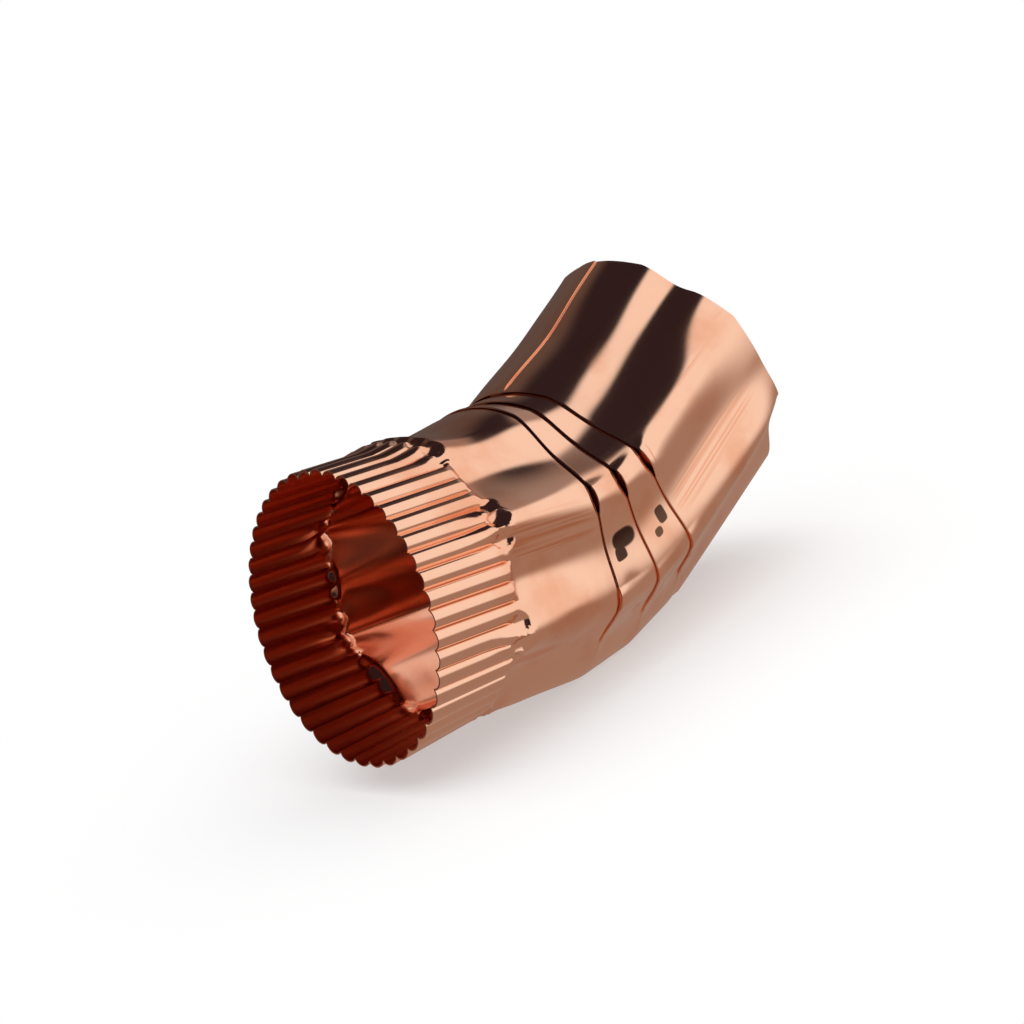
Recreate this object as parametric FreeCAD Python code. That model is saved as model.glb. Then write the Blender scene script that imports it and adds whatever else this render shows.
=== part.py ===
"""Downspout elbow folded from one copper sheet.

A fluted round tube is closed along the throat with a lapped seam, bent by three pleats and
crimped at its lower mouth, so that it slips into the next length of pipe. Each pleat is a fold
of the wall itself: the lower wall runs up under the next band, turns out and back down to a rim,
then turns up again as that band, which laps over it. The fold is deep at the throat and dies out
at the heel.

Millimetres, +Z up. The elbow lies on the heel of its first band, with +X towards the plain
mouth, and the bend lies in the XZ plane. The origin is under the middle of its box.
"""
import FreeCAD, Part
import math
import os

SIZES = (
    ("sheet_gauge", 0.55, "thickness of the copper sheet"),
    ("fold_gap", 0.2, "air left between the layers of a pleat"),
    ("tube_radius", 50.0, "mean outer radius of the fluted tube"),
    ("flute_count", 8, "flutes round the tube"),
    ("flute_depth", 4.4, "crest to valley of the flutes at the pleats"),
    ("end_flute_depth", 7.4, "crest to valley of the flutes at the far ends of both legs"),
    ("crimp_count", 44, "crimps round the lower mouth"),
    ("crimp_depth", 2.0, "ridge to groove of the crimps"),
    ("crimp_length", 36.0, "length of the crimped band"),
    ("crimp_radius", 49.0, "outer radius over the crimp ridges at the mouth"),
    ("crimp_taper", 0.4, "growth of that radius over the crimped band"),
    ("mouth_drop", 3.3, "sag of the crimped mouth towards the heel"),
    ("mouth_oval", 1.7, "growth of the crimped mouth towards heel and throat"),
    ("mouth_spread", 1.0, "growth of the crimped mouth all round"),
    ("sag_kept", 0.3, "share of the sag that is left at the end of the crimps"),
    ("shoulder_length", 5.0, "length over which the crimps run out into the flutes"),
    ("lower_leg", 86.3, "heel length of the crimped leg"),
    ("lower_bow", 58.0, "station where the pressed wall of that leg bows"),
    ("pleat_pitch", 27.1, "heel length of one band between pleats"),
    ("upper_leg", 81.7, "heel length of the plain leg"),
    ("upper_dip", 34.0, "station where the throat of that leg dips"),
    ("upper_bow", 62.0, "station where the pressed wall of that leg bows"),
    ("pleat_count", 3, "pleats in the bend"),
    ("pleat_angle", 10.4, "turn at one pleat, degrees"),
    ("crease_depth", 0.25, "undercut of a pleat where its fold has died out"),
    ("crease_step", 0.3, "step of the wall at a pleat on the heel"),
    ("fold_slack", 0.85, "share of the slack at a pleat that its fold takes up"),
    ("fold_from", 55.0, "angle from the heel where the fold starts, degrees"),
    ("fold_fade", 30.0, "angle over which the step grows before that, degrees"),
    ("crest_gap", 0.8, "further air under a rim at the crests of the flutes"),
    ("seam_width", 9.0, "width of the lapped seam along the throat"),
    ("seam_runout", 4.0, "length over which the lap rises after the last pleat"),
)

# Points round a ring, and the forms of a flute's crest and a crimp's ridge: a lower power of
# the sine is a sharper crest or a narrower groove
FACETS_PER_FLUTE = 11
POINTS_PER_CRIMP = 8
FLUTE_POWER = 1.4
CRIMP_POWER = 0.6
# Place of the lapped edge on the facet beside the throat
SEAM_EDGE = 0.08
# Where pressing and handling have pushed the wall of the lower leg, the last pleat and the upper
# leg in or out: angle from the heel and its spread in degrees, station and its spread, and the
# push outwards
LOWER_PUSHES = (
    (180.0, 32.0, 53.0, 20.0, -4.4),
    (180.0, 38.0, 88.0, 16.0, 1.4),
    (-22.0, 16.0, 56.0, 22.0, -1.4),
    (22.0, 16.0, 56.0, 22.0, -1.4),
    (-22.0, 18.0, 41.0, 8.0, -1.2),
    (22.0, 18.0, 41.0, 8.0, -1.2),
    (0.0, 22.0, 44.0, 16.0, -0.6),
)
LAST_PLEAT_PUSHES = (
    (180.0, 38.0, 0.0, 10.0, -1.2),
)
UPPER_PUSHES = (
    (180.0, 38.0, 36.0, 22.0, -2.2),
    (158.0, 16.0, 70.0, 24.0, -1.2),
    (0.0, 46.0, 20.0, 90.0, 1.2),
    (-160.0, 14.0, 82.0, 30.0, -0.8),
    (-133.0, 9.0, 82.0, 34.0, 1.1),
    (-112.0, 11.0, 82.0, 30.0, -1.7),
    (-92.0, 10.0, 82.0, 30.0, 1.3),
    (-66.0, 13.0, 84.0, 16.0, -4.8),
    (112.0, 11.0, 82.0, 30.0, -1.1),
    (68.0, 11.0, 82.0, 26.0, -1.3),
    (92.0, 10.0, 82.0, 30.0, 0.9),
)

doc = FreeCAD.newDocument("downspout_elbow")
sheet = doc.addObject("Spreadsheet::Sheet", "sizes")
for row, (alias, value, note) in enumerate(SIZES, start=1):
    sheet.set(f"A{row}", alias)
    sheet.set(f"B{row}", str(value))
    sheet.setAlias(f"B{row}", alias)
    sheet.set(f"C{row}", note)
doc.recompute()


def size(alias):
    """A driving dimension, read from the sheet."""
    return float(sheet.get(alias))


gauge = size("sheet_gauge")
gap = size("fold_gap")
radius = size("tube_radius")
flutes = int(size("flute_count"))
crimps = int(size("crimp_count"))
pleats = int(size("pleat_count"))
turn = math.radians(size("pleat_angle"))
full_step = 2 * (gauge + gap)


def spread(count):
    """Even angles round the tube, from the heel."""
    return [2 * math.pi * index / count for index in range(count)]


def from_heel(angle):
    """Unsigned angle between a point of the ring and the heel."""
    return abs((angle + math.pi) % (2 * math.pi) - math.pi)


def crest(angle):
    """Height of the fluting: -1 in a valley, 1 on a crest, and a plain crest along the seam."""
    if from_heel(angle) > math.pi * (1 - 1 / flutes):
        return 1.0
    return 1 - 2 * abs(math.cos(flutes * angle / 2)) ** FLUTE_POWER


def fluted(depth):
    """Outline of the fluted tube: x towards the heel, y across."""
    ring = []
    for angle in spread(flutes * FACETS_PER_FLUTE):
        reach = radius + depth / 2 * crest(angle)
        ring.append((reach * math.cos(angle), reach * math.sin(angle)))
    return ring


def crimped(outer_radius, sag_share):
    """Outline of the crimped band: broad round ridges, narrow grooves, and a share of its sag."""
    ring = []
    for index, angle in enumerate(spread(crimps * POINTS_PER_CRIMP)):
        phase = (index % POINTS_PER_CRIMP) / POINTS_PER_CRIMP
        ridge = math.sin(math.pi * phase) ** CRIMP_POWER
        reach = outer_radius - size("crimp_depth") * (1 - ridge)
        sag = size("mouth_drop") * math.cos(angle) + size("mouth_oval") * math.cos(2 * angle)
        reach += sag_share * (size("mouth_spread") + sag)
        ring.append((reach * math.cos(angle), reach * math.sin(angle)))
    return ring


def pushed(ring, pushes, station):
    """Outline with its wall pushed in or out, as a table of pushes has it for a station."""
    moved = []
    for x, y in ring:
        angle = math.degrees(math.atan2(y, x))
        out = 0.0
        for middle, width, place, length, push in pushes:
            away = (angle - middle + 180) % 360 - 180
            out += push * math.exp(-(away / width) ** 2 - ((station - place) / length) ** 2)
        grown = 1 + out / math.hypot(x, y)
        moved.append((x * grown, y * grown))
    return moved


def inset(ring, amounts):
    """Outline moved inwards, square to its own edges, by one amount or one per point."""
    if not isinstance(amounts, list):
        amounts = [amounts] * len(ring)
    moved = []
    for index, (x, y) in enumerate(ring):
        before = ring[index - 1]
        after = ring[(index + 1) % len(ring)]
        first = math.atan2(y - before[1], x - before[0])
        second = math.atan2(after[1] - y, after[0] - x)
        half = ((second - first + math.pi) % (2 * math.pi) - math.pi) / 2
        facing = first + half - math.pi / 2
        reach = amounts[index] / math.cos(half)
        moved.append((x - reach * math.cos(facing), y - reach * math.sin(facing)))
    return moved


def seamed(ring):
    """The same outline with one more point beside the throat, where the lapped edge can stand."""
    throat = len(ring) // 2
    (x0, y0), (x1, y1) = ring[throat], ring[throat + 1]
    edge = (x0 + SEAM_EDGE * (x1 - x0), y0 + SEAM_EDGE * (y1 - y0))
    return ring[:throat + 1] + [edge] + ring[throat + 1:]


def lapped(ring):
    """Seamed outline with the lapped sheet on top: it rises at its edge and thins out sideways."""
    edge = len(ring) // 2 + 1
    x0, y0 = ring[edge]
    rises = [0.0] * len(ring)
    for index in range(edge, len(ring)):
        away = math.hypot(ring[index][0] - x0, ring[index][1] - y0) / size("seam_width")
        rises[index] = -gauge * max(1 - away * away, 0.0)
    return inset(ring, rises)


def blended(ring, other, share):
    """Outline part of the way from one to another."""
    return [(a[0] + share * (b[0] - a[0]), a[1] + share * (b[1] - a[1])) for a, b in zip(ring, other)]


class Section:
    """A straight length of the tube: its slope and where its heel line starts."""

    def __init__(self, slope, heel_start):
        self.along = FreeCAD.Vector(math.cos(slope), 0, math.sin(slope))
        self.heel = FreeCAD.Vector(math.sin(slope), 0, -math.cos(slope))
        self.heel_start = heel_start

    def ring(self, outline, station, tilt=0.0, rises=0.0):
        """Points of an outline at a station, in a plane tilted about the heel, moved up by rises."""
        if not isinstance(rises, list):
            rises = [rises] * len(outline)
        points = []
        for (x, y), rise in zip(outline, rises):
            inward = radius - x
            place = station - math.tan(tilt) * inward + rise
            points.append(self.heel_start + self.along * place - self.heel * inward + FreeCAD.Vector(0, y, 0))
        return points


def fold_shares(outline):
    """How much of a pleat's full step the wall takes, point by point: little at the heel."""
    start = math.radians(size("fold_from"))
    fade = math.radians(size("fold_fade"))
    least = size("crease_step") / full_step
    shares = []
    for x, y in outline:
        rise = min(max((abs(math.atan2(y, x)) - start) / fade + 1, 0.0), 1.0)
        shares.append(least + (1 - least) * rise * rise * (3 - 2 * rise))
    return shares


def fold_rises(outline):
    """How far a pleat's fold runs up under the next band, point by point: deepest at the throat."""
    clear = radius * (1 - math.cos(math.radians(size("fold_from"))))
    slack = size("fold_slack") * math.tan(turn / 2)
    return [size("crease_depth") + slack * max(radius - x - clear, 0.0) for x, _ in outline]


def stand_offs(outline):
    """Air under a rim, point by point: the rim stands off at the crests of the flutes."""
    plain = math.pi * (1 - 1 / flutes)
    offs = []
    for x, y in outline:
        angle = math.atan2(y, x)
        offs.append(0.0 if abs(angle) > plain else size("crest_gap") * max(crest(angle), 0.0))
    return offs


def pleat_rings(above, outline, following, rooms):
    """Rings of the outer and inner skin round one pleat, from the lower wall to the next band.

    The band narrows from its rim to the following outline over the room it has, and the fold
    inside it leans with it.
    """
    shares = fold_shares(outline)
    rises = fold_rises(outline)
    offs = stand_offs(outline)
    leans = []
    for near, far, share, off, room in zip(outline, following, shares, offs, rooms):
        narrowing = share * (full_step + off) + math.hypot(*near) - math.hypot(*far)
        leans.append(max(narrowing, 0.0) / room)

    def layer(whole, folded, air, lifted, turned, stood):
        """Ring over so many folded gauges and gaps of the sheet, turned up inside the fold or not."""
        depths = []
        up = []
        for share, rise, off, lean in zip(shares, rises, offs, leans):
            out = share * (folded * gauge + air * gap + stood * off)
            depths.append(whole * gauge - out + turned * lean * rise)
            up.append(lifted * gauge + turned * rise)
        return above.ring(inset(outline, depths), 0.0, -turn / 2, up)

    outer = [
        layer(whole=0, folded=0, air=0, lifted=0, turned=0, stood=0),
        layer(whole=0, folded=0, air=0, lifted=0, turned=1, stood=0),
        layer(whole=0, folded=0, air=1, lifted=0, turned=1, stood=1),
        layer(whole=0, folded=0, air=1, lifted=0, turned=0, stood=1),
        layer(whole=0, folded=2, air=2, lifted=0, turned=0, stood=1),
    ]
    inner = [
        layer(whole=1, folded=0, air=0, lifted=0, turned=0, stood=0),
        layer(whole=1, folded=0, air=0, lifted=1, turned=1, stood=0),
        layer(whole=1, folded=2, air=1, lifted=1, turned=1, stood=1),
        layer(whole=1, folded=2, air=1, lifted=1, turned=0, stood=1),
        layer(whole=1, folded=2, air=2, lifted=1, turned=0, stood=1),
    ]
    return outer, inner


# Crimped band, along the axis of the lower leg, and the fluted rings that it runs out into
leg_end = seamed(fluted(size("end_flute_depth")))
lower = Section(-turn, FreeCAD.Vector())
mouth_crimps = crimped(size("crimp_radius"), 1.0)
end_crimps = crimped(size("crimp_radius") + size("crimp_taper"), size("sag_kept"))
tube_start = size("crimp_length") + size("shoulder_length")
lower_share = (size("lower_bow") - tube_start) / (size("lower_leg") - tube_start)


def part_tilt(share):
    """Tilt of a ring that lies a share of the way from a square end to a pleat."""
    return math.atan(share * math.tan(turn / 2))


def crimp_rings(depth):
    """Rings of the crimped band at a depth below its outer skin."""
    return [
        lower.ring(inset(mouth_crimps, depth), 0.0),
        lower.ring(inset(end_crimps, depth), size("crimp_length")),
    ]


crimps_outer = crimp_rings(0.0)
crimps_inner = crimp_rings(gauge)
bow_depth = size("end_flute_depth") + lower_share * (size("flute_depth") - size("end_flute_depth"))
lower_start = pushed(leg_end, LOWER_PUSHES, tube_start)
lower_bow = pushed(seamed(fluted(bow_depth)), LOWER_PUSHES, size("lower_bow"))
tube_outer = [
    lower.ring(lower_start, tube_start),
    lower.ring(lower_bow, size("lower_bow"), part_tilt(lower_share)),
]
tube_inner = [
    lower.ring(inset(lower_start, gauge), tube_start),
    lower.ring(inset(lower_bow, gauge), size("lower_bow"), part_tilt(lower_share)),
]

# Pleats, the bands between them and the upper leg, each lapping over the one below
tube_outline = seamed(fluted(size("flute_depth")))
first_outline = pushed(tube_outline, LOWER_PUSHES, size("lower_leg"))
last_outline = pushed(tube_outline, LAST_PLEAT_PUSHES, 0.0)
outlines = [blended(first_outline, last_outline, pleat / max(pleats - 1, 1)) for pleat in range(pleats)]
rim_outline = inset(last_outline, [-full_step * share for share in fold_shares(last_outline)])


def upper_wall(place):
    """Outline of the upper leg at a station."""
    return pushed(blended(rim_outline, leg_end, place / size("upper_leg")), UPPER_PUSHES, place)


section = lower
station = size("lower_leg")
for pleat, outline in enumerate(outlines):
    section = Section(turn * pleat, section.heel_start + section.along * station)
    station = size("pleat_pitch")
    if pleat + 1 < pleats:
        following = outlines[pleat + 1]
        rooms = [station - 2 * math.tan(turn / 2) * (radius - x) for x, _ in outline]
    else:
        following = upper_wall(size("upper_dip"))
        dip_share = size("upper_dip") / size("upper_leg")
        rooms = [size("upper_dip") - dip_share * math.tan(turn / 2) * (radius - x) for x, _ in outline]
    outer_rings, inner_rings = pleat_rings(section, outline, following, rooms)
    tube_outer += outer_rings
    tube_inner += inner_rings
for place in (size("seam_runout"), size("upper_dip"), size("upper_bow"), size("upper_leg")):
    tilt = -part_tilt(1 - place / size("upper_leg"))
    tube_outer.append(section.ring(lapped(upper_wall(place)), place, tilt))
    tube_inner.append(section.ring(inset(upper_wall(place), gauge), place, tilt))

# The elbow lies on z = 0, with the middle of its box over the origin
reached = [point for ring in crimps_outer + tube_outer for point in ring]
middle = (min(p.x for p in reached) + max(p.x for p in reached)) / 2
seat = FreeCAD.Vector(-middle, 0, -min(p.z for p in reached))


def outline_wire(points):
    """Closed wire through a ring's points, in the elbow's resting place."""
    return Part.makePolygon([point + seat for point in points + points[:1]])


def skin(name, rings):
    """Lofted skin of the sheet, straight-ruled from ring to ring."""
    wires = []
    for index, points in enumerate(rings, start=1):
        wire = doc.addObject("Part::Feature", f"{name}_ring_{index:02d}")
        wire.Shape = outline_wire(points)
        wires.append(wire)
    loft = doc.addObject("Part::Loft", name)
    loft.Sections = wires
    loft.Solid = False
    loft.Ruled = True
    return loft


def facets(name, rings):
    """Flat triangles from ring to ring, whose point counts may differ."""
    triangles = []
    for near_ring, far_ring in zip(rings, rings[1:]):
        near = 0
        far = 0
        while near < len(near_ring) or far < len(far_ring):
            corners = [near_ring[near % len(near_ring)], far_ring[far % len(far_ring)]]
            if (near + 1) * len(far_ring) <= (far + 1) * len(near_ring):
                near += 1
                corners.append(near_ring[near % len(near_ring)])
            else:
                far += 1
                corners.append(far_ring[far % len(far_ring)])
            triangles.append(Part.Face(outline_wire(corners)))
    wall = doc.addObject("Part::Feature", name)
    wall.Shape = Part.makeCompound(triangles)
    return wall


def rim(name, outer_ring, inner_ring):
    """Cut edge of the sheet at a mouth."""
    edge = doc.addObject("Part::Feature", name)
    wires = [outline_wire(outer_ring), outline_wire(inner_ring)]
    edge.Shape = Part.makeFace(wires, "Part::FaceMakerBullseye")
    return edge


sides = [
    rim("crimped_rim", crimps_outer[0], crimps_inner[0]),
    skin("crimped_band_outside", crimps_outer),
    skin("crimped_band_inside", crimps_inner),
    facets("shoulder_outside", [crimps_outer[-1], tube_outer[0]]),
    facets("shoulder_inside", [crimps_inner[-1], tube_inner[0]]),
    facets("lower_leg_outside", tube_outer[:3]),
    skin("bend_outside", tube_outer[2:-3]),
    facets("upper_leg_outside", tube_outer[-4:]),
    facets("lower_leg_inside", tube_inner[:3]),
    skin("bend_inside", tube_inner[2:-3]),
    facets("upper_leg_inside", tube_inner[-4:]),
    rim("plain_rim", tube_outer[-1], tube_inner[-1]),
]
doc.recompute()

# One sheet: both skins and the two cut edges, closed into a solid
elbow = doc.addObject("Part::Feature", "elbow")
closed = Part.Shell([face for side in sides for face in side.Shape.Faces])
elbow.Shape = Part.Solid(closed)
elbow.Label = "elbow"
doc.recompute()

for item in doc.Objects:
    if "Invalid" in item.State or "Error" in item.State:
        raise RuntimeError(f"{item.Label} failed to build: {item.State}")
if elbow.Shape.isNull() or not elbow.Shape.isValid() or not closed.isClosed():
    raise RuntimeError("the elbow is not one closed and valid solid")

os.makedirs("parts", exist_ok=True)
elbow.Shape.exportStep(f"parts/{elbow.Label}.step")
box = elbow.Shape.BoundBox
print(f"elbow {box.XLength:.1f} x {box.YLength:.1f} x {box.ZLength:.1f} mm, {elbow.Shape.Volume:.0f} mm3")
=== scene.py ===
"""Forms the copper sheet of a pleated downspout elbow, finishes it and sets up its studio.

The properties and the finished piece are in metres. The sheet is worked out in millimetres, in
the frame of the CAD part: +Z up, +X towards the plain mouth, the bend in the XZ plane.
"""
import math

import bpy
import numpy as np
from mathutils import Euler, Matrix, Vector


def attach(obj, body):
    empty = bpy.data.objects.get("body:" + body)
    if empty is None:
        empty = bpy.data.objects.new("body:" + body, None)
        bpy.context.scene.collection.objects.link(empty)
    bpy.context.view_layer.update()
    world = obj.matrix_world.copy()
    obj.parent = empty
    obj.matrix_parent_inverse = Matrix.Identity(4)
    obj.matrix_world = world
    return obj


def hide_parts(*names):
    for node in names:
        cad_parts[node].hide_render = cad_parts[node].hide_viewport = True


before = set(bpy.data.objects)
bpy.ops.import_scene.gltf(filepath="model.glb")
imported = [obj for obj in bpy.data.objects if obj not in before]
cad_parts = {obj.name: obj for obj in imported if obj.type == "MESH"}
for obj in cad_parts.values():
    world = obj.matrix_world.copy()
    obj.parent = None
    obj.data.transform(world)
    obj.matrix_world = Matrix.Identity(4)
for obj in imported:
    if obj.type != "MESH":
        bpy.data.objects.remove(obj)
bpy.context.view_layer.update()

bl_info = {
    "name": "Downspout Elbow",
    "version": (1, 0, 0),
    "blender": (4, 5, 0),
    "location": "View3D > Sidebar > Elbow",
    "description": "Forms a pleated copper downspout elbow from one sheet and sets up its studio",
    "category": "Add Mesh",
}

MM = 1000.0
ACROSS = np.array((0.0, 1.0, 0.0))

# Columns of the flat sheet to each crimp and under the lap, and how far they crowd into the grooves
COLUMNS_PER_CRIMP = 9
LAP_COLUMNS = 10
COLUMN_CROWDING = 0.4
# Rows of the flat sheet: stations on the two legs in millimetres, shares of the way across a band,
# and steps round the two bends of a pleat
LOWER_STATIONS = (
    0, 0.5, 1.5, 4, 8, 13, 18, 23, 27, 30, 32, 33.3, 34.4, 35.4, 36.4, 37.4, 38.4, 39.4,
    40.5, 42, 44, 47, 51, 55, 60, 65, 70, 74, 77.5, 80.5, 83,
)
UPPER_STATIONS = (3, 5, 7.5, 11, 15, 20, 25, 30, 35, 40, 45, 50, 55, 60, 65, 70, 74.5, 78, 80.5)
BAND_SHARES = (0.06, 0.14, 0.24, 0.36, 0.5, 0.64, 0.78, 0.91)
FOLD_STEPS = 4
RIM_STEPS = 6
# Edges that turn by up to this many degrees are shaded smooth
SMOOTH_ANGLE = 50.0

# Powers that shape the flutes and the grooves of the crimps
FLUTE_POWER = 1.4
CRIMP_POWER = 0.6
# Share of the mouth's sag that is gone at the end of the crimps
SAG_LOSS = 0.7
# Where a crest of the tube stands over the crimps, the ridges rise into it by a long ramp and each
# groove ends in a round bowl. Millimetres, apart from the two powers of the bowl
FULL_CREST = 4.0
SHORT_RAMP = 4.0
RAMP_GROWTH = 15.0
RAMP_PAST_CRIMPS = 0.8
RAMP_DRAWN_BACK = 5.0
GROOVE_FADES_BEFORE = 1.0
GROOVE_GONE_AFTER = 2.0
BOWL_WIDTH = 3.3
BOWL_LENGTH = 3.8
BOWL_DEPTH = 3.0
BOWL_GROWTH_POWER = 0.4
BOWL_ROUND_POWER = 0.6

# How many gauges the under edge of the lap drops, and over what share of the lap
TUCK_GAUGES = 1.1
TUCK_SHARE = 0.12
# How far a fold leans in from the band over it, so that the layers stay apart
FOLD_LEAN = 0.04
# Straight wall beside a rim, in half heights of the rim
RIM_RUN = 2.2
# Half the length of the plain bend, in millimetres, that a pleat runs out into along the heel
BEND_HALF = 2.5
# Stations on the plain leg, in millimetres, where the seam and the pushes are full and where the
# shape of the last pleat is gone
SEAM_FULL = 4.0
PUSHES_FULL = 6.0
PLEAT_GONE = 9.0
# Share of the plain leg's length that its rows take, so that the mouth stays inside the CAD box
LEG_SHARE = 0.992

# Where pressing and handling have pushed the wall of the lower leg, the last pleat and the upper
# leg in or out: angle from the heel and its spread in degrees, then station, its spread and the
# push outwards in millimetres
LOWER_PUSHES = (
    (180.0, 32.0, 53.0, 20.0, -4.4),
    (180.0, 38.0, 88.0, 16.0, 1.4),
    (-22.0, 16.0, 56.0, 22.0, -1.4),
    (22.0, 16.0, 56.0, 22.0, -1.4),
    (-22.0, 18.0, 41.0, 8.0, -1.2),
    (22.0, 18.0, 41.0, 8.0, -1.2),
    (0.0, 22.0, 44.0, 16.0, -0.6),
)
LAST_PLEAT_PUSHES = (
    (180.0, 38.0, 0.0, 10.0, -1.2),
)
UPPER_PUSHES = (
    (180.0, 38.0, 36.0, 22.0, -2.2),
    (158.0, 16.0, 70.0, 24.0, -1.2),
    (0.0, 46.0, 20.0, 90.0, 1.2),
    (-160.0, 14.0, 82.0, 30.0, -0.8),
    (-130.0, 10.0, 88.0, 38.0, 3.0),
    (-112.0, 11.0, 82.0, 36.0, -2.7),
    (-92.0, 10.0, 82.0, 30.0, 1.3),
    (-66.0, 13.0, 84.0, 16.0, -4.8),
    (112.0, 11.0, 82.0, 30.0, -1.1),
    (68.0, 11.0, 82.0, 26.0, -1.3),
    (92.0, 10.0, 82.0, 30.0, 0.9),
)
# Small dents of the lower leg, in the same terms
LOWER_DENTS = (
    (-67.0, 3.2, 64.0, 6.0, -0.5),
    (-46.0, 7.0, 58.0, 12.0, -0.7),
)
# Dents of the two bands, with their place and spread as shares of the way across the band
BAND_DENTS = (
    (
        (-41.0, 5.0, 0.2, 0.12, -0.6),
        (-53.0, 6.0, 0.75, 0.15, -0.5),
        (-71.0, 4.0, 0.35, 0.14, -0.6),
    ),
    (
        (-58.0, 5.0, 0.5, 0.2, -0.6),
    ),
)
# Where the rim of each pleat arches off the wall below it: angle from the heel and half width in
# degrees, and height in millimetres
RIM_ARCHES = (
    ((-110.0, 6.5, 1.2), (-68.0, 5.0, 0.7), (112.0, 8.0, 0.8), (68.0, 7.0, 0.8)),
    ((-110.0, 6.8, 1.25), (-68.0, 4.0, 0.3), (112.0, 8.0, 0.8), (68.0, 7.0, 0.8)),
    ((-109.0, 8.0, 1.25), (-68.0, 5.0, 0.4), (112.0, 8.0, 0.8), (68.0, 7.0, 0.8)),
)
# Spots on the sheet: painted dark reflections on the bands, where they mirror dark things, and warm
# streaks.
# Each gives where along it and how far either way, angle from the heel and half width in degrees, and
# strength. The place is a station on a leg and a share of the way across a band
PAINTED_DARK_REFLECTIONS = (
    ("band 0", 0.56, 0.40, -89.6, 4.0, 1.0),
    ("band 0", 0.32, 0.17, -84.6, 3.0, 1.0),
    ("band 1", 0.70, 0.15, -86.5, 3.8, 0.95),
    ("band 1", 0.42, 0.12, -81.5, 1.9, 0.9),
)
WARM_MARKS = (
    ("lower", 62.0, 24.0, -104.0, 7.0, 1.0),
    ("upper", 30.0, 34.0, -84.0, 6.0, 0.8),
    ("upper", 56.0, 24.0, -118.0, 3.0, 0.6),
)
# How square the painted reflections and the warm streaks are, and how soft their edges: 0 is sharp
STREAK_AND_REFLECTION_POWER = 3.0
DARK_REFLECTION_SOFTNESS = 0.3
WARM_SOFTNESS = 0.95

# Noise of the handled places and of the rolling lines, and where in it they begin and are full
SMUDGE_SCALE = 30.0
ROLLING_STRETCH = (260.0, 5.0, 1.0)
HANDLED_RANGE = (0.48, 0.72)
STREAK_RANGE = (0.42, 0.6)
# How much handling shows in the colour, what handling, rolling and the dull inside add to the
# roughness, and what is taken off it again
HANDLED_WARMTH = 0.7
HANDLED_ROUGHNESS = 0.06
ROLLING_ROUGHNESS = 0.05
INSIDE_ROUGHNESS = 0.24
ROUGHNESS_OFF = 0.03
# How far the inside has its deeper colour, which is painted shade, in the crimps and past them
INSIDE_CRIMPED = 1.0
INSIDE_PLAIN = 0.4

WHITE = (1.0, 1.0, 1.0, 1.0)
# What the copper mirrors: the way towards each wall, the cosines at which it starts and is full, and
# its colour. Each covers those before it: side wall, backdrop, window and ground
DARK_STUDIO = (0.030, 0.021, 0.026, 1.0)
STUDIO_WALLS = (
    ((0.0, 1.0, 0.0), 0.48, 0.66, (0.12, 0.09, 0.08, 1.0)),
    ((1.0, 0.0, 0.0), 0.72, 0.81, (0.36, 0.31, 0.29, 1.0)),
    ((0.613, -0.782, -0.118), 0.46, 0.54, (1.0, 0.97, 0.93, 1.0)),
    ((0.0, 0.0, -1.0), 0.12, 0.36, (0.38, 0.28, 0.23, 1.0)),
)
# The floor: its sides, its roughness, its share of plain white under the part, and the distances in
# metres between which it turns all white
FLOOR_SIDES = 96
FLOOR_ROUGHNESS = 0.9
FLOOR_WHITE = 0.45
FLOOR_FADE = (0.06, 0.30)
# Width of the camera's frame, in millimetres
SENSOR_WIDTH = 36.0


def length(name, description, default):
    """A length property, in metres."""
    return bpy.props.FloatProperty(
        name=name, description=description, default=default, unit="LENGTH", precision=5
    )


def angle(name, description, degrees):
    """An angle property, given in degrees."""
    return bpy.props.FloatProperty(
        name=name, description=description, default=math.radians(degrees), unit="ROTATION"
    )


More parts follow.
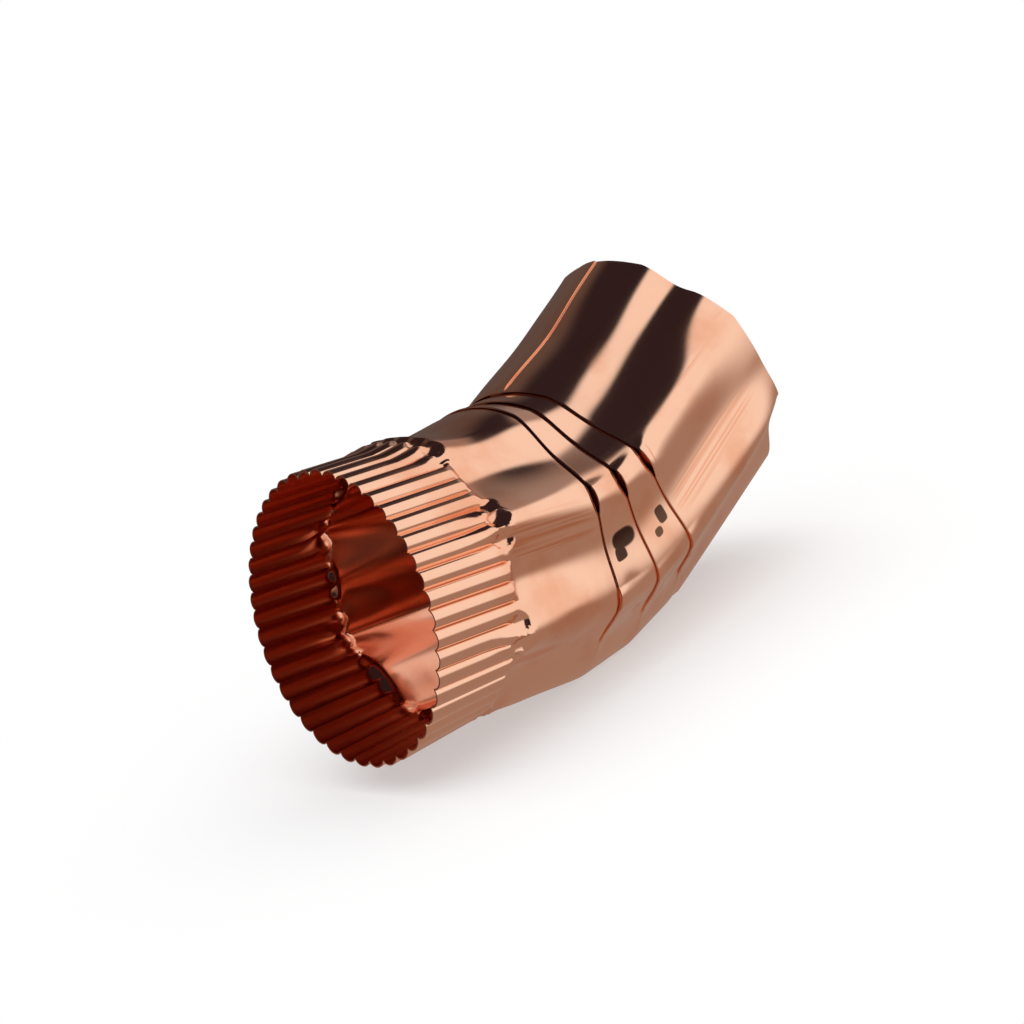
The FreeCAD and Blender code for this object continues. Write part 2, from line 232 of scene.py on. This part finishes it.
class SheetSizes(bpy.types.PropertyGroup):
    """Sizes of the folded sheet."""

    gauge: length("Gauge", "Thickness of the copper sheet", 0.00055)
    fold_gap: length("Fold gap", "Air between the layers of a pleat", 0.0002)
    tube_radius: length("Tube radius", "Mean outer radius of the fluted tube", 0.05)
    flute_depth: length("Flute depth", "Crest to valley of the flutes at the pleats", 0.0044)
    end_flute_depth: length("End flute depth", "Crest to valley at the far ends of both legs", 0.0074)
    crimp_depth: length("Crimp depth", "Ridge to groove of the crimps", 0.002)
    crimp_length: length("Crimp length", "Length of the crimped band", 0.036)
    crimp_radius: length("Crimp radius", "Radius over the ridges at the crimped mouth", 0.049)
    crimp_taper: length("Crimp taper", "Growth of that radius over the crimped band", 0.0004)
    shoulder: length("Shoulder", "Length over which the crimps run out", 0.005)
    lower_leg: length("Lower leg", "Heel length of the crimped leg", 0.0863)
    pleat_pitch: length("Pleat pitch", "Heel length of one band between pleats", 0.0271)
    upper_leg: length("Upper leg", "Heel length of the plain leg", 0.0817)
    upper_dip: length("Upper dip", "Station where the throat of the plain leg dips", 0.034)
    rim_half: length("Rim half", "Half the height of a pressed rim over the wall below it", 0.00032)
    mouth_drop: length("Mouth drop", "Sag of the crimped mouth towards the heel", 0.0033)
    mouth_oval: length("Mouth oval", "Growth of the crimped mouth towards heel and throat", 0.0017)
    mouth_spread: length("Mouth spread", "Growth of the crimped mouth all round", 0.001)
    heel_start: bpy.props.FloatVectorProperty(
        name="Heel start", description="Where the heel line starts at the crimped mouth",
        subtype="TRANSLATION", unit="LENGTH", default=(-0.107143, 0.0, 0.014713),
    )
    lap: length("Lap", "Width of the lapped seam along the throat", 0.009)
    pleat_angle: angle("Pleat angle", "Turn of the tube at one pleat", 10.4)
    fold_from: angle("Fold from", "Angle from the heel where a fold is full", 55.0)
    fold_fade: angle("Fold fade", "Angle over which a fold dies out towards the heel", 30.0)
    fold_slack: bpy.props.FloatProperty(
        name="Fold slack", description="Share of the slack at a pleat that its fold takes up",
        default=0.85,
    )
    flutes: bpy.props.IntProperty(name="Flutes", description="Flutes round the tube", default=8)
    crimps: bpy.props.IntProperty(name="Crimps", description="Crimps round the mouth", default=44)
    pleats: bpy.props.IntProperty(name="Pleats", description="Pleats in the bend", default=3)


class CopperFinish(bpy.types.PropertyGroup):
    """Colours and gloss of the polished copper, with painted shade inside and painted dark reflections
    on the bands.
    """

    bright: bpy.props.FloatVectorProperty(
        name="Bright copper", description="Colour of the clean polished sheet",
        subtype="COLOR", size=4, default=(0.96, 0.58, 0.42, 1.0), min=0.0, max=1.0,
    )
    handled: bpy.props.FloatVectorProperty(
        name="Handled copper", description="Warmer colour where the sheet has been handled",
        subtype="COLOR", size=4, default=(0.85, 0.38, 0.22, 1.0), min=0.0, max=1.0,
    )
    # Painted shade: a darker red put on the inside of the tube, which lies in shade
    inside: bpy.props.FloatVectorProperty(
        name="Inside", description="Deeper colour of the inside, which was never polished",
        subtype="COLOR", size=4, default=(0.62, 0.12, 0.045, 1.0), min=0.0, max=1.0,
    )
    # Painted reflection: dark colour put on the bands where they mirror dark things
    mark: bpy.props.FloatVectorProperty(
        name="Dark marks", description="Colour of the dark marks on the bands",
        subtype="COLOR", size=4, default=(0.075, 0.036, 0.024, 1.0), min=0.0, max=1.0,
    )
    gloss: bpy.props.FloatProperty(
        name="Roughness", description="Roughness of the polished sheet", default=0.12, min=0.0, max=1.0
    )


class StudioSetup(bpy.types.PropertyGroup):
    """Camera, floor and light."""

    camera_place: bpy.props.FloatVectorProperty(
        name="Camera place", description="Where the camera stands", subtype="TRANSLATION",
        unit="LENGTH", default=(-0.480611, -0.533015, 0.246473),
    )
    camera_turn: bpy.props.FloatVectorProperty(
        name="Camera turn", description="How the camera is turned", subtype="EULER",
        unit="ROTATION", default=(1.302171, 0.319148, -0.808858),
    )
    camera_lens: bpy.props.FloatProperty(
        name="Lens", description="Focal length on a 36 mm frame, in millimetres", default=71.348
    )
    floor_colour: bpy.props.FloatVectorProperty(
        name="Floor", description="Colour of the pale floor", subtype="COLOR", size=4,
        default=(0.9, 0.9, 0.9, 1.0), min=0.0, max=1.0,
    )
    floor_radius: length("Floor radius", "Radius of the round floor", 1.6)
    lamp_size: length("Lamp size", "Width of the round light over the floor", 2.4)
    lamp_height: length("Lamp height", "Height of that light", 1.1)
    lamp_power: bpy.props.FloatProperty(
        name="Lamp power", description="Power of that light, in watts", default=26.0, unit="POWER"
    )


def smooth(low, high, value):
    """Smooth rise from 0 at low to 1 at high."""
    share = np.clip((value - low) / (high - low), 0.0, 1.0)
    return share * share * (3 - 2 * share)


class Section:
    """A straight length of the tube: its slope and where its heel line starts."""

    def __init__(self, slope, heel_start, tube_radius):
        self.along = np.array((math.cos(slope), 0.0, math.sin(slope)))
        self.heel = np.array((math.sin(slope), 0.0, -math.cos(slope)))
        self.heel_start = heel_start
        self.tube_radius = tube_radius

    def ring(self, outline, station, slant):
        """Points of an outline at a station, in a plane slanted about the heel line."""
        inward = self.tube_radius - outline[:, 0]
        place = station - slant * inward
        return (
            self.heel_start
            + np.multiply.outer(place, self.along)
            - np.multiply.outer(inward, self.heel)
            + np.multiply.outer(outline[:, 1], ACROSS)
        )


class ElbowForm:
    """Works out where every point of the flat sheet goes when it is rolled, crimped and pleated."""

    def __init__(self, sizes):
        self.gauge = sizes.gauge * MM
        self.gap = sizes.fold_gap * MM
        self.radius = sizes.tube_radius * MM
        self.flute_depth = sizes.flute_depth * MM
        self.end_flute_depth = sizes.end_flute_depth * MM
        self.crimp_depth = sizes.crimp_depth * MM
        self.crimp_length = sizes.crimp_length * MM
        self.crimp_radius = sizes.crimp_radius * MM
        self.crimp_taper = sizes.crimp_taper * MM
        self.shoulder = sizes.shoulder * MM
        self.lower_leg = sizes.lower_leg * MM
        self.pleat_pitch = sizes.pleat_pitch * MM
        self.upper_leg = sizes.upper_leg * MM
        self.upper_dip = sizes.upper_dip * MM
        self.rim_half = sizes.rim_half * MM
        self.mouth_drop = sizes.mouth_drop * MM
        self.mouth_oval = sizes.mouth_oval * MM
        self.mouth_spread = sizes.mouth_spread * MM
        self.heel_start = np.array(sizes.heel_start) * MM
        self.lap = sizes.lap * MM
        self.turn = sizes.pleat_angle
        self.fold_from = sizes.fold_from
        self.fold_fade = sizes.fold_fade
        self.fold_slack = sizes.fold_slack
        self.flutes = sizes.flutes
        self.crimps = sizes.crimps
        self.pleats = sizes.pleats
        around = self.crimps * COLUMNS_PER_CRIMP
        steps = np.arange(-LAP_COLUMNS, around + 1) / COLUMNS_PER_CRIMP
        # Columns stand closer together in the grooves of the crimps
        half = self.crimps / 2
        steps = steps - COLUMN_CROWDING * np.sin(2 * np.pi * (steps + half)) / (2 * np.pi)
        self.angles = np.pi + 2 * np.pi * steps / self.crimps
        self.signed = (self.angles + np.pi) % (2 * np.pi) - np.pi
        self.heel_angles = np.abs(self.signed)
        # The sheet starts under the lap and ends on top of it
        self.under_lap = (np.pi - self.angles) * self.radius / self.lap
        self.on_lap = (3 * np.pi - self.angles) * self.radius / self.lap
        self.places = []

    def crest(self):
        """Height of the fluting: -1 in a valley, 1 on a crest, a plain crest along the seam."""
        wave = 1 - 2 * np.abs(np.cos(self.flutes * self.angles / 2)) ** FLUTE_POWER
        return np.where(self.heel_angles > np.pi * (1 - 1 / self.flutes), 1.0, wave)

    def crimp_phase(self):
        """Angle from the heel, counted in crimps: whole in the middle of each groove."""
        return self.angles * self.crimps / (2 * np.pi)

    def groove(self):
        """0 along the top of each crimp, 1 at the bottom of the grooves."""
        return 1 - np.abs(np.sin(np.pi * self.crimp_phase())) ** CRIMP_POWER

    def groove_away(self):
        """Distance round the tube from the middle of the nearest groove."""
        phase = self.crimp_phase()
        return np.abs(phase - np.rint(phase)) * 2 * np.pi * self.crimp_radius / self.crimps

    def degrees_from(self, middle):
        """Degrees round the tube from an angle, the short way."""
        return (np.degrees(self.signed) - middle + 180.0) % 360.0 - 180.0

    def outline(self, reach):
        """Outline with this reach at each angle: x towards the heel, y across."""
        return np.column_stack((reach * np.cos(self.angles), reach * np.sin(self.angles)))

    def inset(self, outline, amounts):
        """Outline moved inwards, square to itself."""
        run = np.gradient(outline, axis=0)
        facing = np.column_stack((run[:, 1], -run[:, 0]))
        facing /= np.linalg.norm(facing, axis=1)[:, None]
        return outline - facing * np.broadcast_to(amounts, self.angles.shape)[:, None]

    def tuck(self):
        """How far the under edge of the lap lies below the sheet above it."""
        return TUCK_GAUGES * self.gauge * smooth(0.0, TUCK_SHARE, self.under_lap)

    def seam(self, share):
        """How far the lap stands out: a share of one gauge along its edge, less where it is tucked."""
        away = np.where(self.under_lap > 0, self.under_lap, self.on_lap)
        return share * self.gauge * np.clip(1 - away ** 2, 0.0, 1.0) - self.tuck()

    def fold_share(self):
        """How much of a fold the wall takes: nothing along the heel, all of it round the throat."""
        return smooth(self.fold_from - self.fold_fade, self.fold_from, self.heel_angles)

    def pushed(self, pushes, station):
        """How far the wall has been pushed outwards at a station."""
        out = np.zeros_like(self.signed)
        for middle, width, place, spread, amount in pushes:
            away = self.degrees_from(middle)
            out += amount * np.exp(-(away / width) ** 2 - ((station - place) / spread) ** 2)
        return out

    def mouth_sag(self, station):
        """How far the crimped mouth is out of round: it sags to the heel and is a little oval."""
        share = max(1 - SAG_LOSS * station / self.crimp_length, 0.0)
        oval = self.mouth_oval * np.cos(2 * self.signed)
        return share * (self.mouth_spread + self.mouth_drop * np.cos(self.signed) + oval)

    def crimped_reach(self, station, tube):
        """Reach of the wall where the ridges of the crimps rise into the tube and the grooves end."""
        grown = self.crimp_radius + self.crimp_taper * min(station / self.crimp_length, 1.0)
        ridge = grown + self.mouth_sag(station)
        over = np.clip((tube - ridge) / FULL_CREST, 0.0, 1.0)
        run = SHORT_RAMP + RAMP_GROWTH * over
        end = self.crimp_length + RAMP_PAST_CRIMPS - RAMP_DRAWN_BACK * over
        top = ridge + (tube - ridge) * smooth(end - run / 2, end + run / 2, station)
        fading = self.crimp_length - GROOVE_FADES_BEFORE
        gone = self.crimp_length + GROOVE_GONE_AFTER
        groove = self.crimp_depth * self.groove() * (1 - smooth(fading, gone, station))
        beside = self.groove_away() / BOWL_WIDTH
        beyond = (station - self.crimp_length) / BOWL_LENGTH
        bowl = np.clip(1 - (beside ** 2 + beyond ** 2), 0.0, 1.0) ** BOWL_ROUND_POWER
        bowl = BOWL_DEPTH * over ** BOWL_GROWTH_POWER * bowl
        return top - np.maximum(groove, bowl)

    def crimped_rows(self, section):
        """Rows from the crimped mouth over the shoulder to the first pleat."""
        slant_full = math.tan(self.turn / 2)
        tube_start = self.crimp_length + self.shoulder
        crest = self.crest()
        rows = []
        for station in LOWER_STATIONS:
            share = np.clip((station - tube_start) / (self.lower_leg - tube_start), 0.0, 1.0)
            depth = self.end_flute_depth + share * (self.flute_depth - self.end_flute_depth)
            tube = self.radius + depth / 2 * crest
            tube = tube + self.pushed(LOWER_PUSHES + LOWER_DENTS, station)
            outline = self.outline(self.crimped_reach(station, tube) - self.tuck())
            rows.append(section.ring(outline, station, slant_full * share))
            self.places.append(("lower", station))
        return rows

    def stand_off(self, arches):
        """Air under a rim where it arches off the wall below it."""
        out = np.zeros_like(self.signed)
        for middle, half, height in arches:
            away = self.degrees_from(middle)
            out += height * np.clip(1 - (away / half) ** 2, 0.0, 1.0)
        return out

    def pleat_path(self, rise, air):
        """The sheet's way through a pleat: how far out, how high and how it faces, row by row.

        It runs up under the next band, turns out and down to a rim, then up again as that band.
        """
        rim = self.rim_half
        top = rise - air / 2
        path = [(0.0, 0.0, 0.0), (0.0, top / 2, 0.0)]
        for step in range(FOLD_STEPS + 1):
            turned = math.pi * step / FOLD_STEPS
            path.append((air / 2 * (1 - math.cos(turned)), top + air / 2 * math.sin(turned), turned))
        path.append((air, (top + rim) / 2, math.pi))
        for step in range(RIM_STEPS + 1):
            turned = math.pi * step / RIM_STEPS
            lowered = rim * (1 - math.sin(turned))
            path.append((air + rim * (1 - math.cos(turned)), lowered, math.pi - turned))
        path.append((air + 2 * rim, RIM_RUN * rim, 0.0))
        return path

    def pleat_rows(self, section, above, station, outline, following, room, arches):
        """Rows over one pleat: the end of the lower wall, its fold and the rim of the next band."""
        share = self.fold_share()
        slant = math.tan(self.turn / 2)
        rim = self.rim_half
        air = self.gap + self.stand_off(arches)
        inward = self.radius - outline[:, 0]
        clear = self.radius * (1 - math.cos(self.fold_from))
        rise = self.fold_slack * slant * np.maximum(inward - clear, 0.0)
        rise = np.maximum(rise, RIM_RUN * rim + air / 2)
        narrowing = share * (air + 2 * rim)
        narrowing += np.linalg.norm(outline, axis=1) - np.linalg.norm(following, axis=1)
        lean = np.maximum(narrowing, 0.0) / room
        tuck = self.tuck()
        flush = self.inset(outline, tuck)
        before = section.ring(flush, station - BEND_HALF, slant)
        corner = section.ring(flush, station, slant)
        after = above.ring(flush, BEND_HALF, -slant)
        folded = [section.ring(flush, station - RIM_RUN * rim, slant)]
        for out, height, facing in self.pleat_path(rise, air):
            depth = (lean + FOLD_LEAN) * height - out + tuck * max(math.cos(facing), 0.0)
            folded.append(above.ring(self.inset(outline, depth), height, -slant))
        rows = []
        for index, row in enumerate(folded):
            far = index / (len(folded) - 1)
            plain = (1 - far) ** 2 * before + 2 * far * (1 - far) * corner + far ** 2 * after
            rows.append(row * share[:, None] + plain * (1 - share[:, None]))
        return rows

    def band_rows(self, section, first, last, band):
        """Rows of a band between two pleats, with its dents."""
        outward = np.multiply.outer(np.cos(self.angles), section.heel)
        outward += np.multiply.outer(np.sin(self.angles), ACROSS)
        rows = []
        for share in BAND_SHARES:
            push = self.pushed(BAND_DENTS[band], share)
            rows.append(first + share * (last - first) + push[:, None] * outward)
            self.places.append((f"band {band}", share))
        return rows

    def rows(self):
        """All rows of the sheet, from the crimped mouth to the plain mouth."""
        tube = self.radius + self.flute_depth / 2 * self.crest()
        first = self.outline(tube + self.pushed(LOWER_PUSHES, self.lower_leg))
        last = self.outline(tube + self.pushed(LAST_PLEAT_PUSHES, 0.0))
        outlines = [first + (last - first) * pleat / (self.pleats - 1) for pleat in range(self.pleats)]
        rim_outline = self.inset(last, -(self.gap + 2 * self.rim_half) * self.fold_share())
        slant = math.tan(self.turn / 2)
        section = Section(-self.turn, self.heel_start, self.radius)
        rows = self.crimped_rows(section)
        station = self.lower_leg
        for pleat, outline in enumerate(outlines):
            heel_start = section.heel_start + section.along * station
            above = Section(self.turn * pleat, heel_start, self.radius)
            inward = self.radius - outline[:, 0]
            if pleat + 1 < self.pleats:
                following = outlines[pleat + 1]
                room = self.pleat_pitch - 2 * slant * inward
            else:
                following = self.upper_outline(rim_outline, self.upper_dip)
                room = self.upper_dip - self.upper_dip / self.upper_leg * slant * inward
            arches = RIM_ARCHES[pleat]
            folded = self.pleat_rows(section, above, station, outline, following, room, arches)
            if pleat > 0:
                rows += self.band_rows(section, rows[-1], folded[0], pleat - 1)
            rows += folded
            self.places += [("pleat", 0.0)] * len(folded)
            section = above
            station = self.pleat_pitch
        return rows + self.upper_rows(section, rim_outline, rows[-1])

    def upper_outline(self, rim_outline, station):
        """Outline of the plain leg at a station, without its lap."""
        mouth = self.outline(self.radius + self.end_flute_depth / 2 * self.crest())
        blend = rim_outline + (mouth - rim_outline) * station / self.upper_leg
        held = float(smooth(0.0, PUSHES_FULL, station))
        return self.inset(blend, -held * self.pushed(UPPER_PUSHES, station))

    def upper_rows(self, section, rim_outline, start):
        """Rows of the plain leg, from the last pleat to the plain mouth."""
        slant = -math.tan(self.turn / 2)
        pleat_end = section.ring(self.inset(rim_outline, self.tuck()), RIM_RUN * self.rim_half, slant)
        rows = []
        for station in (*UPPER_STATIONS, self.upper_leg):
            lapped = self.seam(float(smooth(0.0, SEAM_FULL, station)))
            outline = self.inset(self.upper_outline(rim_outline, station), -lapped)
            row = section.ring(outline, station * LEG_SHARE, slant * (1 - station / self.upper_leg))
            left = 1 - float(smooth(0.0, PLEAT_GONE, station))
            rows.append(row + left * (start - pleat_end))
            self.places.append(("upper", station))
        return rows

    def crimped_lines(self):
        """Which rows of the sheet lie in the crimped band."""
        return np.array([name == "lower" and place < self.crimp_length for name, place in self.places])

    def on_sheet(self, streaks_and_reflections):
        """Middles and half sizes of painted reflections and streaks in shares of the flat sheet, with
        their strengths.
        """
        shares = np.arange(len(self.angles)) / (len(self.angles) - 1)
        spots = []
        for zone, place, reach, middle, half, strength in streaks_and_reflections:
            lines = [index for index, (name, _) in enumerate(self.places) if name == zone]
            stations = [self.places[index][1] for index in lines]
            ends = np.interp((place - reach, place + reach), stations, lines)
            low, high = ends / (len(self.places) - 1)
            turns = np.radians((middle - half, middle + half)) + 2 * np.pi
            left, right = np.interp(turns, self.angles, shares)
            centre = ((left + right) / 2, (low + high) / 2)
            spots.append((*centre, (right - left) / 2, (high - low) / 2, strength))
        return spots


class Wire:
    """One output socket of a node tree, so that shader maths reads as arithmetic."""

    def __init__(self, tree, socket=None):
        self.tree = tree
        self.socket = socket

    def node(self, kind, settings, sockets, output=0):
        """Adds a node of any type: its settings first, then the values or links of its sockets."""
        node = self.tree.nodes.new(kind)
        for name, value in settings.items():
            setattr(node, name, value)
        for name, value in sockets.items():
            if isinstance(value, Wire):
                self.tree.links.new(value.socket, node.inputs[name])
            else:
                node.inputs[name].default_value = value
        return Wire(self.tree, node.outputs[output])

    def maths(self, operation, first, second=0.0):
        """A Math node on two values."""
        return self.node("ShaderNodeMath", {"operation": operation}, {0: first, 1: second})

    def __add__(self, other):
        return self.maths("ADD", self, other)

    def __radd__(self, other):
        return self.maths("ADD", other, self)

    def __sub__(self, other):
        return self.maths("SUBTRACT", self, other)

    def __rsub__(self, other):
        return self.maths("SUBTRACT", other, self)

    def __mul__(self, other):
        return self.maths("MULTIPLY", self, other)

    def __rmul__(self, other):
        return self.maths("MULTIPLY", other, self)


def mixed(wire, share, first, second):
    """Colour part of the way from one to another."""
    # The colours of a Mix node are its inputs 6 and 7 and its output 2
    sockets = {0: share, 6: first, 7: second}
    return wire.node("ShaderNodeMix", {"data_type": "RGBA", "clamp_factor": True}, sockets, 2)


def eased(wire, value, low, high, start=0.0, end=1.0):
    """Smooth change from start to end while a value goes from low to high."""
    sockets = {"Value": value, "From Min": low, "From Max": high, "To Min": start, "To Max": end}
    return wire.node("ShaderNodeMapRange", {"interpolation_type": "SMOOTHSTEP"}, sockets)


def streak_and_reflection_mask(wire, sheet, spots, soft):
    """How far the sheet is covered by painted reflection or streak: 1 on a spot, with soft or crisp
    edges.
    """
    along = wire.node("ShaderNodeSeparateXYZ", {}, {0: sheet}, 0)
    across = wire.node("ShaderNodeSeparateXYZ", {}, {0: sheet}, 1)
    total = None
    for middle, line, half, reach, strength in spots:
        beside = wire.maths("ABSOLUTE", (along - middle) * (1 / half))
        beyond = wire.maths("ABSOLUTE", (across - line) * (1 / reach))
        away = wire.maths("POWER", beside, STREAK_AND_REFLECTION_POWER) + wire.maths("POWER", beyond, STREAK_AND_REFLECTION_POWER)
        spot = eased(wire, away, 1 - soft, 1 + soft, strength, 0.0)
        total = spot if total is None else wire.maths("MAXIMUM", total, spot)
    return total


def polished_copper(finish, reflection_spots, warm_spots):
    """Polished copper sheet with rolling lines, warm handled streaks, painted dark reflections and
    painted shade inside.
    """
    material = bpy.data.materials.new("polished_copper")
    material.use_nodes = True
    tree = material.node_tree
    shader = tree.nodes["Principled BSDF"]
    wire = Wire(tree)
    place = wire.node("ShaderNodeTexCoord", {}, {}, "Object")
    sheet = wire.node("ShaderNodeTexCoord", {}, {}, "UV")
    inside = wire.node("ShaderNodeAttribute", {"attribute_name": "inside"}, {}, "Fac")
    smudge = wire.node("ShaderNodeTexNoise", {}, {"Vector": place, "Scale": SMUDGE_SCALE, "Detail": 5.0})
    stretch = wire.node("ShaderNodeMapping", {}, {"Vector": sheet, "Scale": ROLLING_STRETCH})
    rolling = wire.node("ShaderNodeTexNoise", {}, {"Vector": stretch, "Scale": 1.0, "Detail": 3.0})
    handled = eased(wire, smudge, *HANDLED_RANGE)
    outside = 1 - inside
    streaks = eased(wire, rolling, *STREAK_RANGE)
    streaks = streaks * streak_and_reflection_mask(wire, sheet, warm_spots, WARM_SOFTNESS) * outside
    warm = wire.maths("MAXIMUM", handled * HANDLED_WARMTH, streaks)
    # Painted reflection: dark spots on the bands where they mirror dark things
    dark = streak_and_reflection_mask(wire, sheet, reflection_spots, DARK_REFLECTION_SOFTNESS) * outside
    colour = mixed(wire, warm, tuple(finish.bright), tuple(finish.handled))
    colour = mixed(wire, dark, colour, tuple(finish.mark))
    # Painted shade: the inside of the tube turns a darker red
    colour = mixed(wire, inside, colour, tuple(finish.inside))
    roughness = handled * HANDLED_ROUGHNESS + rolling * ROLLING_ROUGHNESS
    roughness = roughness + inside * inside * INSIDE_ROUGHNESS + (finish.gloss - ROUGHNESS_OFF)
    tree.links.new(colour.socket, shader.inputs["Base Color"])
    tree.links.new(roughness.socket, shader.inputs["Roughness"])
    shader.inputs["Metallic"].default_value = 1.0
    return material


class ELBOW_OT_form_sheet(bpy.types.Operator):
    """Roll, crimp and pleat the flat copper sheet into the elbow"""

    bl_idname = "elbow.form_sheet"
    bl_label = "Form the elbow"

    def execute(self, context):
        sizes = context.scene.elbow_sheet
        form = ElbowForm(sizes)
        rows = form.rows()
        bpy.ops.object.select_all(action="DESELECT")
        bpy.ops.mesh.primitive_grid_add(
            x_subdivisions=len(rows[0]) - 1, y_subdivisions=len(rows) - 1, size=2.0, calc_uvs=True
        )
        elbow = context.active_object
        elbow.name = "copper_elbow"
        flat = np.empty(len(elbow.data.vertices) * 3)
        elbow.data.vertices.foreach_get("co", flat)
        flat = flat.reshape(-1, 3)
        column = np.rint((flat[:, 0] + 1) / 2 * (len(rows[0]) - 1)).astype(int)
        row = np.rint((flat[:, 1] + 1) / 2 * (len(rows) - 1)).astype(int)
        formed = np.array(rows)[row, column] / MM
        elbow.data.vertices.foreach_set("co", formed.ravel())
        elbow.data.update()
        outer_count = len(elbow.data.vertices)
        wall = elbow.modifiers.new("gauge", "SOLIDIFY")
        wall.thickness = sizes.gauge
        wall.offset = -1.0
        bpy.ops.object.modifier_apply(modifier=wall.name)
        bpy.ops.object.shade_smooth_by_angle(angle=math.radians(SMOOTH_ANGLE))
        # Solidify keeps the outer points first and adds the inner ones after them
        inside = elbow.data.attributes.new("inside", "FLOAT", "POINT")
        # The inner points take their share of painted shade: full in the crimps, less past them
        deep = np.where(form.crimped_lines()[row], INSIDE_CRIMPED, INSIDE_PLAIN)
        inside.data.foreach_set("value", np.concatenate((np.zeros(outer_count), deep)))
        finish = context.scene.elbow_finish
        copper = polished_copper(finish, form.on_sheet(PAINTED_DARK_REFLECTIONS), form.on_sheet(WARM_MARKS))
        elbow.data.materials.append(copper)
        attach(elbow, "root")
        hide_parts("elbow")
        return {"FINISHED"}


class ELBOW_OT_set_stage(bpy.types.Operator):
    """Lay the pale floor, hang the soft light and place the camera"""

    bl_idname = "elbow.set_stage"
    bl_label = "Set the stage"

    def execute(self, context):
        studio = context.scene.elbow_studio
        bpy.ops.object.select_all(action="DESELECT")
        bpy.ops.mesh.primitive_circle_add(
            vertices=FLOOR_SIDES, radius=studio.floor_radius, fill_type="NGON"
        )
        floor = context.active_object
        floor.name = "floor"
        floor.data.materials.append(self.floor_finish(studio))
        floor.visible_glossy = False
        self.surroundings(context.scene)
        self.overhead_light(context.scene, studio)
        camera = bpy.data.cameras.new("camera")
        camera.sensor_width = SENSOR_WIDTH
        camera.lens = studio.camera_lens
        stand = bpy.data.objects.new("camera", camera)
        context.scene.collection.objects.link(stand)
        turn = Euler(studio.camera_turn, "XYZ").to_matrix().to_4x4()
        stand.matrix_world = Matrix.Translation(Vector(studio.camera_place)) @ turn
        context.scene.camera = stand
        context.scene.view_settings.view_transform = "Standard"
        return {"FINISHED"}

    def floor_finish(self, studio):
        """Matt pale floor that runs out into the white of the studio."""
        material = bpy.data.materials.new("pale_floor")
        material.use_nodes = True
        tree = material.node_tree
        shader = tree.nodes["Principled BSDF"]
        shader.inputs["Base Color"].default_value = tuple(studio.floor_colour)
        shader.inputs["Roughness"].default_value = FLOOR_ROUGHNESS
        wire = Wire(tree)
        place = wire.node("ShaderNodeTexCoord", {}, {}, "Object")
        away = wire.node("ShaderNodeVectorMath", {"operation": "LENGTH"}, {0: place}, "Value")
        share = eased(wire, away, *FLOOR_FADE, start=FLOOR_WHITE)
        white = wire.node("ShaderNodeEmission", {}, {"Color": WHITE})
        matt = Wire(tree, shader.outputs[0])
        finish = wire.node("ShaderNodeMixShader", {}, {0: share, 1: matt, 2: white})
        tree.links.new(finish.socket, tree.nodes["Material Output"].inputs["Surface"])
        return material

    def surroundings(self, scene):
        """White studio to the camera, and to the copper the walls that it mirrors."""
        world = bpy.data.worlds.new("studio")
        world.use_nodes = True
        tree = world.node_tree
        wire = Wire(tree)
        toward = wire.node("ShaderNodeTexCoord", {}, {}, "Generated")
        dot = {"operation": "DOT_PRODUCT"}
        colour = DARK_STUDIO
        for direction, start, full, tone in STUDIO_WALLS:
            facing = wire.node("ShaderNodeVectorMath", dot, {0: toward, 1: direction}, "Value")
            colour = mixed(wire, eased(wire, facing, start, full), colour, tone)
        seen = wire.node("ShaderNodeLightPath", {}, {}, "Is Camera Ray")
        colour = mixed(wire, seen, colour, WHITE)
        tree.links.new(colour.socket, tree.nodes["Background"].inputs["Color"])
        scene.world = world

    def overhead_light(self, scene, studio):
        """Wide soft light over the floor, which the copper doesn't mirror."""
        lamp = bpy.data.lights.new("overhead", "AREA")
        lamp.shape = "DISK"
        lamp.size = studio.lamp_size
        lamp.energy = studio.lamp_power
        hung = bpy.data.objects.new("overhead", lamp)
        scene.collection.objects.link(hung)
        hung.location = (0.0, 0.0, studio.lamp_height)
        hung.visible_glossy = False


class ELBOW_PT_sidebar(bpy.types.Panel):
    """Lists the steps and sizes of the elbow"""

    bl_label = "Downspout elbow"
    bl_idname = "ELBOW_PT_sidebar"
    bl_space_type = "VIEW_3D"
    bl_region_type = "UI"
    bl_category = "Elbow"

    def draw(self, context):
        layout = self.layout
        layout.operator(ELBOW_OT_form_sheet.bl_idname)
        layout.operator(ELBOW_OT_set_stage.bl_idname)
        scene = context.scene
        for group in (scene.elbow_sheet, scene.elbow_finish, scene.elbow_studio):
            column = layout.column()
            for name in group.bl_rna.properties.keys():
                if name not in {"rna_type", "name"}:
                    column.prop(group, name)


CLASSES = (
    SheetSizes,
    CopperFinish,
    StudioSetup,
    ELBOW_OT_form_sheet,
    ELBOW_OT_set_stage,
    ELBOW_PT_sidebar,
)


def register():
    """Registers the classes and hangs the properties on the scene."""
    for item in CLASSES:
        bpy.utils.register_class(item)
    bpy.types.Scene.elbow_sheet = bpy.props.PointerProperty(type=SheetSizes)
    bpy.types.Scene.elbow_finish = bpy.props.PointerProperty(type=CopperFinish)
    bpy.types.Scene.elbow_studio = bpy.props.PointerProperty(type=StudioSetup)


def unregister():
    """Takes the properties and classes away again."""
    del bpy.types.Scene.elbow_studio
    del bpy.types.Scene.elbow_finish
    del bpy.types.Scene.elbow_sheet
    for item in reversed(CLASSES):
        bpy.utils.unregister_class(item)


def main():
    """Makes the elbow and its stage."""
    register()
    bpy.ops.elbow.form_sheet()
    bpy.ops.elbow.set_stage()


if __name__ == "__main__":
    main()
